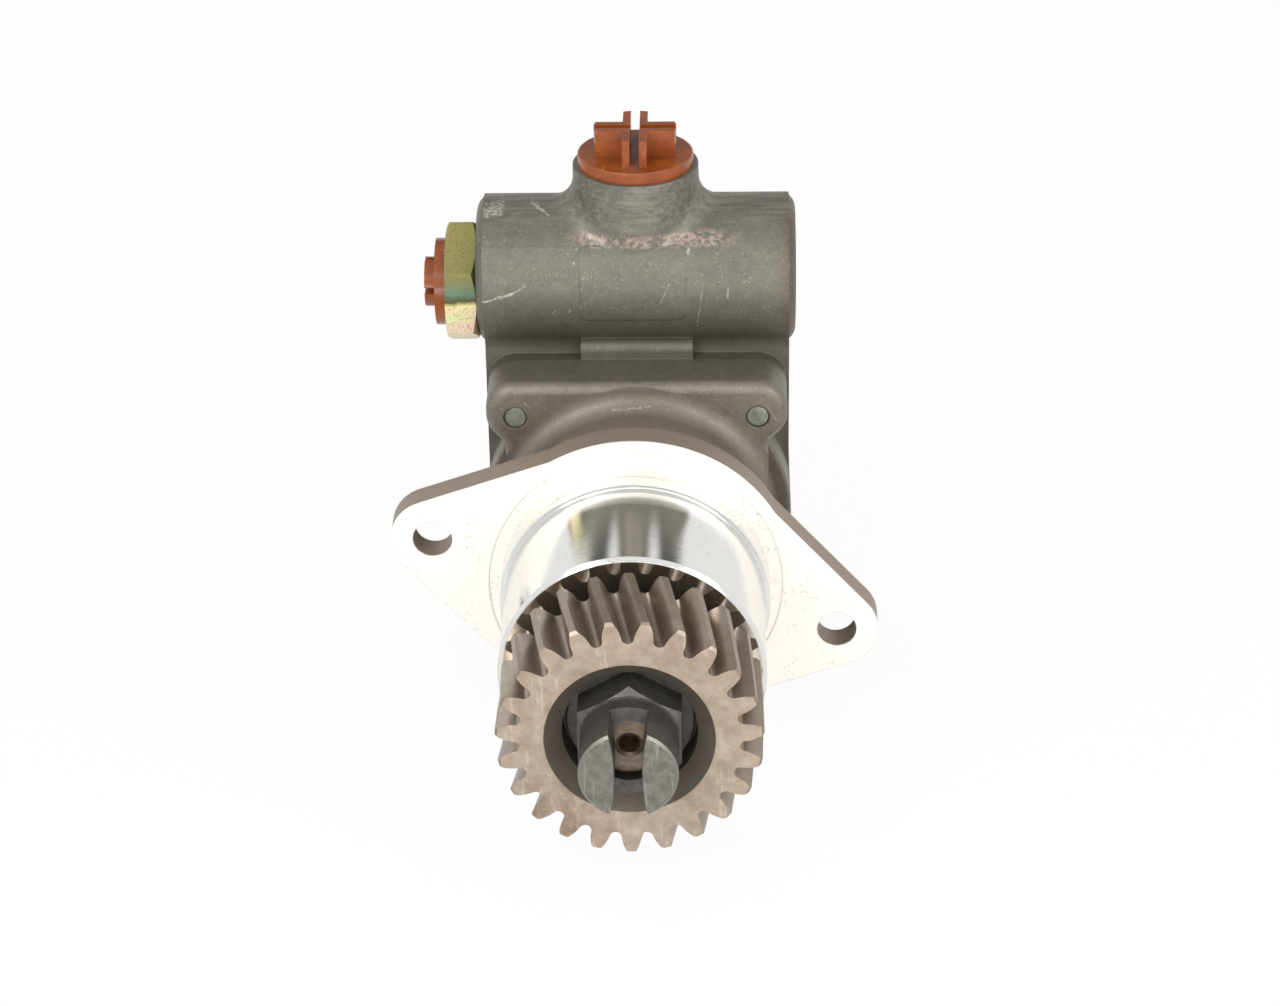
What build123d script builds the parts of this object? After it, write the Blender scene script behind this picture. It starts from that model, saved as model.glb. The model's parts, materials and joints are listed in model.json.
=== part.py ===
from build123d import *
import math
import os

os.makedirs("parts", exist_ok=True)

# Power steering pump: a vane pump driven by a helical gear, sizes in millimetres.
# The origin is where the shaft axis meets the front face of the mounting flange.
# The shaft runs along Y with its driven end towards -Y, and +Z is up.

# Mounting flange and spigot of the front housing
flange_thickness = 9.0
flange_radius = 44.6
flange_waist_radius = 43.6
flange_ear_radius = 11.6
flange_hole_radius = 5.5
flange_bolt_radius = 58.0
flange_bolt_angle = 165.4
spigot_radius = 36.0
spigot_length = 50.0
land_radius = 37.3
land_length = 10.9
relief_radius = 40.9
relief_depth = 0.4
edge_chamfer = 1.0

# Neck, ear plate and joint of the front housing
neck_radius = 37.5
plate_front_y = 35.0
rim_front_y = 42.0
joint_y = 51.0
body_radius = 44.0
plate_half_height = 44.6
plate_half_width = 42.7
plate_waist = 37.3
plate_corner_radius = 8.4
plate_bar_height = 18.7
cast_radius = 3.0
blend_radius = 6.0
core_radius = 18.0

# Housing bolts, M8
bolt_offset = 34.3
bolt_radius = 4.0
bolt_core_radius = 3.4
bolt_hole_radius = 4.5
bolt_head_width = 13.0
bolt_head_height = 5.3
bolt_tip_gap = 0.4
bolt_tip_chamfer = 0.6
bolt_boss_length = 37.0
bolt_boss_radius = 8.4
bolt_spot_radius = 8.0

# Pump housing
joint_flange_thickness = 8.0
chamber_radius = 37.5
spring_space = 5.0
rear_wall = 6.0
rear_radius = 6.0
rear_boss_radius = 15.0
rear_boss_length = 5.0
web_front_y = 56.0
web_rear_y = 86.0
web_half_width = 43.5
hump_width = 32.0
hump_front_y = 51.5
hump_top_z = 50.0
barrel_y = 70.0
barrel_z = 65.0
barrel_radius = 21.5
barrel_left = 45.5
barrel_right = 45.3
barrel_edge_radius = 4.5
inlet_boss_radius = 18.7
inlet_boss_top_radius = 17.8
inlet_boss_top = 97.5
inlet_boss_blend = 7.0
inlet_bore_radius = 12.25
inlet_bore_depth = 18.5
suction_radius = 6.0
pressure_drill_radius = 2.5
cross_drill_radius = 2.0
pressure_drill_x = -25.0
pressure_drill_y = 88.0

# Flow control valve
valve_z = 61.0
valve_bore_radius = 9.0
valve_bore_end = 38.0
union_thread_radius = 12.0
union_thread_length = 14.0
union_width = 32.0
union_hex_length = 9.0
union_port_radius = 7.3
union_port_depth = 14.0
union_orifice_radius = 2.5
union_seal_section = 1.6
spool_clearance = 0.03
spool_rest_gap = 1.5
spool_length = 38.0
spool_waist_radius = 5.5
spool_nose_length = 8.0
spool_guide_length = 6.0
spool_neck_length = 8.0
spool_groove_depth = 0.5
spool_groove_width = 1.0
spring_wire_radius = 0.9
spring_coil_radius = 7.2
spring_coil_pitch = 5.0
relief_bore_radius = 4.0
relief_bore_depth = 12.0
relief_seat_radius = 1.6
relief_ball_radius = 2.6
relief_gap = 0.02
relief_screw_length = 3.0
relief_wire_radius = 0.4
relief_coil_radius = 2.3
relief_coil_pitch = 1.7

# Transport plugs
plug_head_radius = 16.4
plug_head_height = 3.5
plug_shank_length = 11.0
plug_clearance = 0.15
plug_rib_height = 7.5
plug_rib_thickness = 2.2
plug_rib_gap = 2.6
plug_rib_reach = 11.7
plug_wall = 2.0
outlet_plug_radius = 12.5
outlet_plug_height = 3.2
outlet_knob_radius = 7.15
outlet_knob_height = 3.2
outlet_shank_length = 9.0

# Drive gear
gear_teeth = 23
gear_module = 2.75
gear_helix = 10.0
gear_pressure_angle = 20.0
gear_tip_radius = 35.0
gear_width = 26.75
gear_gap = 5.1
gear_hub_gap = 0.3
gear_hub_radius = 20.0
gear_recess_radius = 17.7
gear_recess_mouth = 22.4
gear_recess_taper = 4.45
gear_recess_depth = 12.85
gear_chamfer = 0.8

# Washer, nut and shaft end
washer_radius = 16.9
washer_thickness = 3.0
nut_width = 27.0
nut_hex_length = 10.3
nut_collar_radius = 12.9
nut_collar_length = 17.2
nut_chamfer = 0.8
slot_middle_width = 7.3
slot_end_width = 10.4
slot_depth = 12.5
shaft_setback = 2.6
centre_hole_radius = 2.75
centre_hole_depth = 9.0
thread_radius = 9.0
thread_relief = 0.6

# Shaft and bearing
seat_radius = 10.0
collar_radius = 15.0
bearing_bore_radius = 12.5
bearing_outer_radius = 26.0
bearing_width = 15.0
bearing_setback = 4.8
race_thickness = 3.6
ball_count = 9
ball_radius = 3.97
ball_clearance = 0.03
cage_thickness = 3.2
cage_width = 10.6
circlip_thickness = 2.0
circlip_depth = 1.5
circlip_width = 4.0
shaft_ring_thickness = 1.5
shaft_ring_depth = 0.8
shaft_ring_width = 2.4
shaft_body_radius = 11.0
key_width = 5.0
key_radius = 6.5
key_rise = 2.3
seal_radius = 21.0
seal_width = 9.0
seal_gap = 0.5
seal_shell = 1.2
running_clearance = 0.03
bush_wall = 1.5
rear_journal_radius = 9.0
shaft_tail_gap = 1.5

# Vane cartridge
plate_thickness = 6.0
plate_clearance = 0.1
ring_width = 22.0
ring_radius = 36.0
cam_minor_radius = 28.1
cam_major_radius = 31.1
cam_angle = 35.0
pressure_plate_thickness = 8.0
rotor_radius = 27.0
rotor_side_clearance = 0.02
spline_teeth = 8
spline_outer_radius = 10.6
spline_inner_radius = 9.4
spline_tooth_width = 4.2
vane_count = 10
vane_thickness = 2.0
vane_clearance = 0.02
vane_length = 8.5
vane_tip_radius = 1.4
vane_tip_gap = 0.1
vane_spare_depth = 1.2
port_radius = 28.5
port_width = 3.6
port_depth = 3.0
port_span = 50.0
dowel_radius = 2.0
dowel_circle_radius = 32.6
rotor_ring_thickness = 1.2
rotor_ring_width = 2.4
rotor_ring_depth = 0.6
ring_seat_radius = 12.2
ring_seat_depth = 2.2
o_ring_width = 2.4
o_ring_depth = 1.8
o_ring_wall = 1.3
disc_spring_thickness = 1.2
disc_spring_inner_radius = 20.0
disc_spring_outer_radius = 33.0

# Stations worked out along the shaft from the sizes above
spigot_front_y = -spigot_length
circlip_front_y = spigot_front_y + bearing_setback - circlip_thickness
bearing_front_y = spigot_front_y + bearing_setback
bearing_rear_y = bearing_front_y + bearing_width
seal_front_y = bearing_rear_y + seal_gap
seal_rear_y = seal_front_y + seal_width
gear_rear_y = spigot_front_y - gear_gap
gear_front_y = gear_rear_y - gear_width
gear_hub_y = spigot_front_y - gear_hub_gap
recess_floor_y = gear_front_y + gear_recess_depth
nut_rear_y = recess_floor_y - washer_thickness
nut_hex_y = nut_rear_y - nut_hex_length
nut_front_y = nut_hex_y - nut_collar_length
slot_floor_y = nut_front_y + slot_depth
shaft_front_y = slot_floor_y + shaft_setback
ring_front_y = joint_y + plate_thickness
ring_rear_y = ring_front_y + ring_width
pressure_rear_y = ring_rear_y + pressure_plate_thickness
chamber_rear_y = pressure_rear_y + spring_space
housing_rear_y = chamber_rear_y + rear_wall
boss_rear_y = housing_rear_y + rear_boss_length
bolt_seat_y = joint_y + bolt_boss_length
journal_rear_y = boss_rear_y - rear_wall
bearing_pitch_radius = (bearing_bore_radius + bearing_outer_radius) / 2
plate_radius = chamber_radius - plate_clearance
vane_rest_tip = cam_minor_radius - vane_tip_gap

shaft_axis = Axis.Y
corner_spots = [(x, z) for x in (-bolt_offset, bolt_offset) for z in (-bolt_offset, bolt_offset)]


def station(y):
    """Cross-section plane at station y, with X to the right and Z up; it faces the front."""
    return Plane.XZ.offset(-y)


def turned(*corners):
    """Lathe profile through (radius, station) corners; a third number rounds that corner."""
    with BuildSketch(Plane.XY) as profile:
        with BuildLine():
            FilletPolyline(
                *[corner[:2] for corner in corners],
                radius=[corner[2] if len(corner) > 2 else 0 for corner in corners],
                close=True,
            )
        make_face()
    return profile.sketch


def cam_radius(angle):
    """Two-lobed cam: smallest radius at angles 0 and 180 degrees, largest at 90 and 270."""
    rise = cam_major_radius - cam_minor_radius
    return cam_minor_radius + rise * (1 - math.cos(2 * math.radians(angle))) / 2


def finish(part, name):
    """Label a finished piece and write it to its own file."""
    part.label = name
    export_step(part, f"parts/{name}.step")


# Front housing: the ear plate, the cast blend behind it, then the turned body and the flange
with BuildPart() as ear_plate:
    with BuildSketch(station(plate_front_y)) as ear_outline:
        bar_centre = plate_half_height - plate_bar_height / 2
        Rectangle(2 * plate_waist, 2 * bar_centre)
        with Locations((0, bar_centre), (0, -bar_centre)):
            RectangleRounded(2 * plate_half_width, plate_bar_height, plate_corner_radius)
        waist_corners = ear_outline.vertices().filter_by(
            lambda corner: abs(abs(corner.X) - plate_waist) < 0.01
        )
        fillet(waist_corners, blend_radius)
    extrude(amount=plate_front_y - joint_y)
    fillet(ear_plate.faces().sort_by(Axis.Y)[0].edges(), cast_radius)

with BuildPart() as plate_blend:
    revolve(
        turned(
            (core_radius, plate_front_y - blend_radius),
            (neck_radius, plate_front_y - blend_radius),
            (neck_radius, plate_front_y, blend_radius * 0.98),
            (neck_radius + blend_radius, plate_front_y),
            (neck_radius + blend_radius, plate_front_y + cast_radius),
            (core_radius, plate_front_y + cast_radius),
        ),
        axis=shaft_axis,
    )
    with BuildSketch(station(plate_front_y - blend_radius)):
        Rectangle(2 * plate_waist, 2 * plate_half_height)
    extrude(amount=-2 * blend_radius, mode=Mode.INTERSECT)

with BuildPart() as front_housing:
    add(ear_plate.part)
    add(plate_blend.part)
    revolve(
        turned(
            (bearing_outer_radius, spigot_front_y),
            (spigot_radius - edge_chamfer, spigot_front_y),
            (spigot_radius, spigot_front_y + edge_chamfer),
            (spigot_radius, -land_length),
            (land_radius, -land_length),
            (land_radius, flange_thickness / 2),
            (flange_waist_radius, flange_thickness / 2),
            (flange_waist_radius, flange_thickness),
            (neck_radius, flange_thickness, blend_radius * 0.98),
            (neck_radius, rim_front_y, cast_radius),
            (body_radius, rim_front_y, 1.0),
            (body_radius, joint_y),
            (core_radius, joint_y),
            (core_radius, seal_rear_y),
            (bearing_outer_radius, seal_rear_y),
        ),
        axis=shaft_axis,
    )
    with BuildSketch(station(0)):
        Circle(flange_waist_radius)
        with PolarLocations(flange_bolt_radius, 2, flange_bolt_angle):
            Circle(flange_ear_radius)
        make_hull()
        Circle(flange_radius)
        Circle(seal_radius, mode=Mode.SUBTRACT)
        with PolarLocations(flange_bolt_radius, 2, flange_bolt_angle):
            Circle(flange_hole_radius, mode=Mode.SUBTRACT)
    extrude(amount=-flange_thickness)
    with BuildSketch(station(0)):
        Circle(relief_radius)
        Circle(land_radius, mode=Mode.SUBTRACT)
    extrude(amount=-relief_depth, mode=Mode.SUBTRACT)
    revolve(
        turned(
            (0, spigot_front_y),
            (bearing_outer_radius, spigot_front_y),
            (bearing_outer_radius, circlip_front_y),
            (bearing_outer_radius + circlip_depth, circlip_front_y),
            (bearing_outer_radius + circlip_depth, bearing_front_y),
            (bearing_outer_radius, bearing_front_y),
            (bearing_outer_radius, bearing_rear_y),
            (seal_radius, bearing_rear_y),
            (seal_radius, seal_rear_y),
            (core_radius, seal_rear_y),
            (core_radius, joint_y),
            (0, joint_y),
        ),
        axis=shaft_axis,
        mode=Mode.SUBTRACT,
    )
    with BuildSketch(station(plate_front_y)):
        with Locations(*corner_spots):
            Circle(bolt_core_radius)
    extrude(amount=plate_front_y - joint_y, mode=Mode.SUBTRACT)
    with BuildSketch(station(joint_y)):
        Circle(chamber_radius + o_ring_wall + o_ring_width)
        Circle(chamber_radius + o_ring_wall, mode=Mode.SUBTRACT)
    extrude(amount=o_ring_depth, mode=Mode.SUBTRACT)
    with BuildSketch(station(joint_y)):
        with PolarLocations(dowel_circle_radius, 2, cam_angle):
            Circle(dowel_radius)
    extrude(amount=plate_thickness, mode=Mode.SUBTRACT)
finish(front_housing.part, "front_housing")

# Pump housing: barrel with its inlet boss, the web that carries it, then the chamber body
with BuildPart() as barrel:
    with BuildSketch(Plane.YZ.offset(-barrel_left)):
        with Locations((barrel_y, barrel_z)):
            Circle(barrel_radius)
    extrude(amount=barrel_left + barrel_right)
    fillet(barrel.edges().filter_by(GeomType.CIRCLE), barrel_edge_radius)
    boss_axis = Axis((0, barrel_y, 0), (0, 0, 1))
    boss_slope = (inlet_boss_radius - inlet_boss_top_radius) / (inlet_boss_top - barrel_z)
    with BuildSketch(station(barrel_y)):
        with BuildLine():
            Polyline(
                (0, barrel_z),
                (inlet_boss_radius, barrel_z),
                (inlet_boss_top_radius, inlet_boss_top),
                (0, inlet_boss_top),
                close=True,
            )
        make_face()
    barrel_edges = barrel.edges()
    revolve(axis=boss_axis)
    boss_root = (barrel.edges() - barrel_edges).filter_by(GeomType.BSPLINE)
    fillet(boss_root, inlet_boss_blend)

with BuildPart() as web:
    with BuildSketch(Plane.YZ) as web_section:
        with Locations((barrel_y, barrel_z)):
            Circle(barrel_radius)
        with BuildLine():
            Polyline(
                (web_front_y, 0),
                (web_front_y, barrel_z),
                (web_rear_y, barrel_z),
                (web_rear_y, 0),
                close=True,
            )
        make_face()
        throat = web_section.vertices().sort_by(Axis.Z)[2:4]
        fillet(throat, blend_radius)
    extrude(amount=web_half_width, both=True)

with BuildPart() as hump:
    with BuildSketch(Plane.YZ):
        with BuildLine():
            FilletPolyline(
                (hump_front_y, 0),
                (hump_front_y, hump_top_z),
                (web_rear_y, hump_top_z),
                (web_rear_y, 0),
                radius=[0, cast_radius, 0, 0],
                close=True,
            )
        make_face()
    extrude(amount=hump_width / 2, both=True)

with BuildPart() as pump_housing:
    revolve(
        turned(
            (0, joint_y),
            (body_radius, joint_y),
            (body_radius, housing_rear_y, rear_radius),
            (rear_boss_radius, housing_rear_y, cast_radius),
            (rear_boss_radius, boss_rear_y, edge_chamfer),
            (0, boss_rear_y),
        ),
        axis=shaft_axis,
    )
    add(barrel.part)
    add(web.part)
    add(hump.part)
    with BuildSketch(station(joint_y)):
        with Locations((0, bar_centre), (0, -bar_centre)):
            RectangleRounded(2 * plate_half_width, plate_bar_height, plate_corner_radius)
    extrude(amount=-joint_flange_thickness)
    with BuildSketch(station(joint_y)):
        with Locations(*corner_spots):
            Circle(bolt_boss_radius)
    extrude(amount=-bolt_boss_length)
    with BuildSketch(station(joint_y)):
        Circle(chamber_radius)
    extrude(amount=joint_y - chamber_rear_y, mode=Mode.SUBTRACT)
    with BuildSketch(station(joint_y)):
        with Locations(*corner_spots):
            Circle(bolt_hole_radius)
    extrude(amount=-bolt_boss_length, mode=Mode.SUBTRACT)
    with BuildSketch(station(bolt_seat_y)):
        with Locations(*corner_spots):
            Circle(bolt_spot_radius)
    extrude(amount=bolt_seat_y - housing_rear_y, mode=Mode.SUBTRACT)
    with BuildSketch(station(chamber_rear_y)):
        Circle(rear_journal_radius + running_clearance + bush_wall)
    extrude(amount=chamber_rear_y - journal_rear_y, mode=Mode.SUBTRACT)
    with BuildSketch(Plane.XY.offset(inlet_boss_top)):
        with Locations((0, barrel_y)):
            Circle(inlet_bore_radius)
    extrude(amount=-inlet_bore_depth, mode=Mode.SUBTRACT)
    with BuildSketch(Plane.XY):
        with Locations((0, barrel_y)):
            Circle(suction_radius)
    extrude(amount=inlet_boss_top, mode=Mode.SUBTRACT)
    with BuildSketch(Plane.YZ.offset(-barrel_left)):
        with Locations((barrel_y, valve_z)):
            Circle(union_thread_radius)
    extrude(amount=union_thread_length, mode=Mode.SUBTRACT)
    with BuildSketch(Plane.YZ.offset(-barrel_left)):
        with Locations((barrel_y, valve_z)):
            Circle(valve_bore_radius)
    extrude(amount=barrel_left + valve_bore_end, mode=Mode.SUBTRACT)
    with BuildSketch(Plane.XY):
        with Locations((pressure_drill_x, pressure_drill_y)):
            Circle(pressure_drill_radius)
    extrude(amount=valve_z + 2 * cross_drill_radius, mode=Mode.SUBTRACT)
    with BuildSketch(station(barrel_y)):
        with Locations((pressure_drill_x, valve_z)):
            Circle(cross_drill_radius)
    extrude(amount=barrel_y - pressure_drill_y, mode=Mode.SUBTRACT)
finish(pump_housing.part, "pump_housing")

# Housing bolts, with the head behind and the thread end in the ear plate
with BuildPart() as housing_bolts:
    bolt_tip_y = plate_front_y + bolt_tip_gap
    with BuildSketch(station(bolt_tip_y)):
        with Locations(*corner_spots):
            Circle(bolt_core_radius)
    extrude(amount=bolt_tip_y - joint_y)
    chamfer(housing_bolts.faces().group_by(Axis.Y)[0].edges(), bolt_tip_chamfer)
    with BuildSketch(station(joint_y)):
        with Locations(*corner_spots):
            Circle(bolt_radius)
    extrude(amount=-bolt_boss_length)
    with BuildSketch(station(bolt_seat_y)):
        with Locations(*corner_spots):
            RegularPolygon(bolt_head_width / 2, 6, major_radius=False)
    extrude(amount=-bolt_head_height)
finish(housing_bolts.part, "housing_bolts")

# Front ball bearing
inner_race_radius = bearing_bore_radius + race_thickness
outer_race_radius = bearing_outer_radius - race_thickness
bearing_mid_y = (bearing_front_y + bearing_rear_y) / 2


def ball_track():
    """Round track that both races share, a little larger than the balls."""
    with BuildSketch(Plane.XY) as track:
        with Locations((bearing_pitch_radius, bearing_mid_y)):
            Circle(ball_radius + ball_clearance)
    return track.sketch


with BuildPart() as bearing_outer_race:
    revolve(
        turned(
            (outer_race_radius, bearing_front_y),
            (bearing_outer_radius, bearing_front_y),
            (bearing_outer_radius, bearing_rear_y),
            (outer_race_radius, bearing_rear_y),
        ),
        axis=shaft_axis,
    )
    revolve(ball_track(), axis=shaft_axis, mode=Mode.SUBTRACT)
finish(bearing_outer_race.part, "bearing_outer_race")

with BuildPart() as bearing_inner_race:
    revolve(
        turned(
            (bearing_bore_radius, bearing_front_y),
            (inner_race_radius, bearing_front_y),
            (inner_race_radius, bearing_rear_y),
            (bearing_bore_radius, bearing_rear_y),
        ),
        axis=shaft_axis,
    )
    revolve(ball_track(), axis=shaft_axis, mode=Mode.SUBTRACT)
finish(bearing_inner_race.part, "bearing_inner_race")

ball_plane = station(bearing_mid_y)
with BuildPart(ball_plane) as bearing_balls:
    with PolarLocations(bearing_pitch_radius, ball_count):
        Sphere(ball_radius)
finish(bearing_balls.part, "bearing_balls")

with BuildPart() as bearing_cage:
    with BuildSketch(station(bearing_mid_y - cage_width / 2)):
        Circle(bearing_pitch_radius + cage_thickness / 2)
        Circle(bearing_pitch_radius - cage_thickness / 2, mode=Mode.SUBTRACT)
    extrude(amount=-cage_width)
    for ball in range(ball_count):
        ball_angle = 2 * math.pi * ball / ball_count
        outward = (math.cos(ball_angle), 0, math.sin(ball_angle))
        with BuildSketch(Plane(origin=(0, bearing_mid_y, 0), z_dir=outward)):
            Circle(ball_radius + ball_clearance)
        extrude(amount=bearing_outer_radius, mode=Mode.SUBTRACT)
finish(bearing_cage.part, "bearing_cage")

# Retaining rings: the housing circlip, the shaft ring behind the race and the rotor ring
with BuildPart() as bearing_circlip:
    circlip_outer = bearing_outer_radius + circlip_depth
    with BuildSketch(station(circlip_front_y)):
        Circle(circlip_outer)
        Circle(circlip_outer - circlip_width, mode=Mode.SUBTRACT)
        with Locations((0, -circlip_outer)):
            Rectangle(circlip_width, 4 * circlip_width, mode=Mode.SUBTRACT)
    extrude(amount=-circlip_thickness)
finish(bearing_circlip.part, "bearing_circlip")

shaft_ring_inner = bearing_bore_radius - shaft_ring_depth
with BuildPart() as shaft_snap_ring:
    with BuildSketch(station(bearing_rear_y)):
        Circle(shaft_ring_inner + shaft_ring_width)
        Circle(shaft_ring_inner, mode=Mode.SUBTRACT)
        with Locations((0, shaft_ring_inner)):
            Rectangle(shaft_ring_width, 4 * shaft_ring_width, mode=Mode.SUBTRACT)
    extrude(amount=-shaft_ring_thickness)
finish(shaft_snap_ring.part, "shaft_snap_ring")

rotor_ring_inner = rear_journal_radius - rotor_ring_depth
with BuildPart() as rotor_snap_ring:
    with BuildSketch(station(ring_rear_y)):
        Circle(rotor_ring_inner + rotor_ring_width)
        Circle(rotor_ring_inner, mode=Mode.SUBTRACT)
        with Locations((0, rotor_ring_inner)):
            Rectangle(rotor_ring_width, 4 * rotor_ring_width, mode=Mode.SUBTRACT)
    extrude(amount=-rotor_ring_thickness)
finish(rotor_snap_ring.part, "rotor_snap_ring")

# Shaft seal: a shell with a lip that points at the pump chamber
with BuildPart() as shaft_seal:
    lip_radius = bearing_bore_radius + running_clearance
    seal_mid_radius = (lip_radius + seal_radius) / 2
    revolve(
        turned(
            (bearing_bore_radius + 2 * seal_shell, seal_front_y + shaft_ring_thickness),
            (seal_radius, seal_front_y + shaft_ring_thickness),
            (seal_radius, seal_rear_y),
            (seal_radius - seal_shell, seal_rear_y),
            (seal_radius - seal_shell, seal_front_y + shaft_ring_thickness + 2 * seal_shell),
            (seal_mid_radius, seal_front_y + shaft_ring_thickness + 2 * seal_shell),
            (seal_mid_radius, seal_rear_y - seal_shell),
            (seal_mid_radius - seal_shell, seal_rear_y - seal_shell),
            (lip_radius, seal_rear_y - 2 * seal_shell),
            (lip_radius + seal_shell, seal_front_y + shaft_ring_thickness + 2 * seal_shell),
        ),
        axis=shaft_axis,
    )
finish(shaft_seal.part, "shaft_seal")

with BuildPart() as rear_bush:
    bush_bore = rear_journal_radius + running_clearance
    with BuildSketch(station(chamber_rear_y)):
        Circle(bush_bore + bush_wall)
        Circle(bush_bore, mode=Mode.SUBTRACT)
    extrude(amount=chamber_rear_y - journal_rear_y)
finish(rear_bush.part, "rear_bush")

# Drive shaft: thread, gear seat with its key slot, bearing collar, body, spline and journal
spline_front_y = ring_front_y + rotor_side_clearance
spline_rear_y = ring_rear_y - rotor_side_clearance
key_y = (recess_floor_y + gear_hub_y) / 2


def spline_outline(clearance):
    """Straight-sided spline section, grown by the clearance for the bore that it fits."""
    with BuildSketch(Plane.XZ) as outline:
        Circle(spline_inner_radius + clearance)
        with PolarLocations(0, spline_teeth):
            Rectangle(
                spline_outer_radius + clearance,
                spline_tooth_width + 2 * clearance,
                align=(Align.MIN, Align.CENTER),
            )
    return outline.sketch


def key_solid():
    """Half-disc key lying in the top of the gear seat."""
    with BuildPart(mode=Mode.PRIVATE) as key:
        with BuildSketch(Plane.YZ):
            with Locations((key_y, seat_radius)):
                Circle(key_radius)
                with Locations((0, key_rise)):
                    Rectangle(
                        4 * key_radius,
                        2 * key_radius,
                        align=(Align.CENTER, Align.MIN),
                        mode=Mode.SUBTRACT,
                    )
        extrude(amount=key_width / 2, both=True)
    return key.part


with BuildPart() as shaft_key:
    add(key_solid())
finish(shaft_key.part, "shaft_key")

with BuildPart() as drive_shaft:
    revolve(
        turned(
            (0, shaft_front_y),
            (thread_radius - edge_chamfer, shaft_front_y),
            (thread_radius, shaft_front_y + edge_chamfer),
            (thread_radius, nut_rear_y),
            (thread_radius - thread_relief, nut_rear_y),
            (thread_radius - thread_relief, recess_floor_y),
            (seat_radius, recess_floor_y),
            (seat_radius, gear_hub_y),
            (collar_radius, gear_hub_y),
            (collar_radius, bearing_front_y),
            (bearing_bore_radius, bearing_front_y),
            (bearing_bore_radius, bearing_rear_y),
            (shaft_ring_inner, bearing_rear_y),
            (shaft_ring_inner, bearing_rear_y + shaft_ring_thickness),
            (bearing_bore_radius, bearing_rear_y + shaft_ring_thickness),
            (bearing_bore_radius, seal_rear_y + seal_gap),
            (shaft_body_radius, seal_rear_y + seal_gap + edge_chamfer),
            (shaft_body_radius, spline_front_y),
            (rear_journal_radius, spline_front_y),
            (rear_journal_radius, ring_rear_y),
            (rotor_ring_inner, ring_rear_y),
            (rotor_ring_inner, ring_rear_y + rotor_ring_thickness),
            (rear_journal_radius, ring_rear_y + rotor_ring_thickness),
            (rear_journal_radius, journal_rear_y - shaft_tail_gap - edge_chamfer),
            (rear_journal_radius - edge_chamfer, journal_rear_y - shaft_tail_gap),
            (0, journal_rear_y - shaft_tail_gap),
        ),
        axis=shaft_axis,
    )
    with BuildSketch(station(spline_front_y)):
        add(spline_outline(0))
    extrude(amount=spline_front_y - spline_rear_y)
    add(key_solid(), mode=Mode.SUBTRACT)
    with BuildSketch(station(shaft_front_y)):
        Circle(centre_hole_radius)
    extrude(amount=-centre_hole_depth, mode=Mode.SUBTRACT)
    chamfer(drive_shaft.edges().group_by(Axis.Y)[0].sort_by(SortBy.RADIUS)[0], edge_chamfer)
finish(drive_shaft.part, "drive_shaft")

# Drive gear: involute teeth, ruled between three turned copies of the outline
helix_angle = math.radians(gear_helix)
pitch_radius = gear_module * gear_teeth / math.cos(helix_angle) / 2
tooth_pressure_angle = math.atan(math.tan(math.radians(gear_pressure_angle)) / math.cos(helix_angle))
base_radius = pitch_radius * math.cos(tooth_pressure_angle)
root_radius = pitch_radius - 1.25 * gear_module
tooth_pitch = 2 * math.pi / gear_teeth
gear_twist = gear_width * math.tan(helix_angle) / pitch_radius


def involute(angle):
    """Involute function of a pressure angle in radians."""
    return math.tan(angle) - angle


def tooth_half_angle(radius):
    """Half of the angle that a tooth spans at a radius."""
    local_angle = math.acos(min(1, base_radius / radius))
    return tooth_pitch / 4 + involute(tooth_pressure_angle) - involute(local_angle)


def gear_point(radius, angle):
    return (radius * math.cos(angle), radius * math.sin(angle))


def gear_outline(y, turn):
    """Face with all the teeth at a station; a tooth points straight down, then turns by an angle."""
    foot_radius = base_radius
    flank_radius = (foot_radius + gear_tip_radius) / 2
    with BuildSketch(station(y)) as outline:
        with BuildLine():
            for tooth in range(gear_teeth):
                centre = turn + tooth * tooth_pitch - math.pi / 2
                foot = tooth_half_angle(foot_radius)
                flank = tooth_half_angle(flank_radius)
                tip = tooth_half_angle(gear_tip_radius)
                ThreePointArc(
                    gear_point(foot_radius, centre - foot),
                    gear_point(flank_radius, centre - flank),
                    gear_point(gear_tip_radius, centre - tip),
                )
                ThreePointArc(
                    gear_point(gear_tip_radius, centre - tip),
                    gear_point(gear_tip_radius, centre),
                    gear_point(gear_tip_radius, centre + tip),
                )
                ThreePointArc(
                    gear_point(gear_tip_radius, centre + tip),
                    gear_point(flank_radius, centre + flank),
                    gear_point(foot_radius, centre + foot),
                )
                ThreePointArc(
                    gear_point(foot_radius, centre + foot),
                    gear_point(root_radius, centre + tooth_pitch / 2),
                    gear_point(foot_radius, centre + tooth_pitch - foot),
                )
        make_face()
    return outline.sketch


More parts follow.
